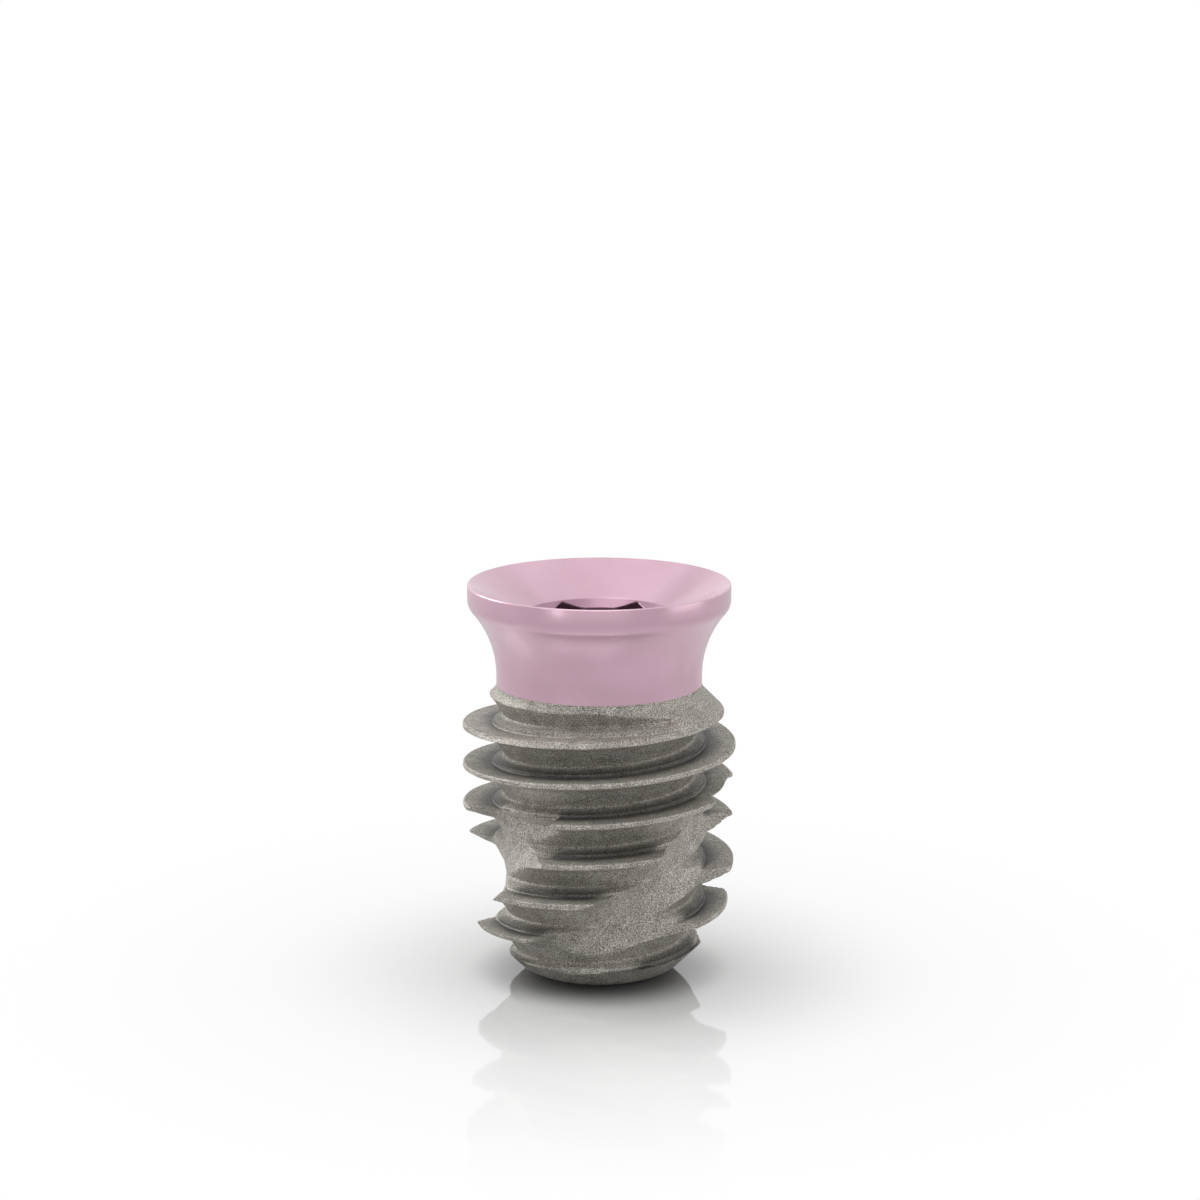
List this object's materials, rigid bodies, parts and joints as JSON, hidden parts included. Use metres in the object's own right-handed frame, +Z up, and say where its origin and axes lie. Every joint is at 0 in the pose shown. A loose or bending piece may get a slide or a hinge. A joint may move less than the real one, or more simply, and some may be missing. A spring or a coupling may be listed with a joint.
{
  "type": "dental implant",
  "caption": "Short threaded dental implant with a flared smooth collar, a conical mouth with a hexagon socket, and helical flutes at the tip.",
  "frame": {"origin": "centre of the flat of the apex, on which the implant stands", "axes": "+Z up the axis from the apex to the rim; -Y to the front, +X to the right of the front"},
  "size_m": [0.005, 0.005, 0.0073],
  "materials": {
    "titanium": "grey blasted and etched thread; the collar above it smooth, anodised satin rose pink"
  },
  "bodies": {
    "root": {"implant_body": "titanium"}
  },
  "joints": []
}
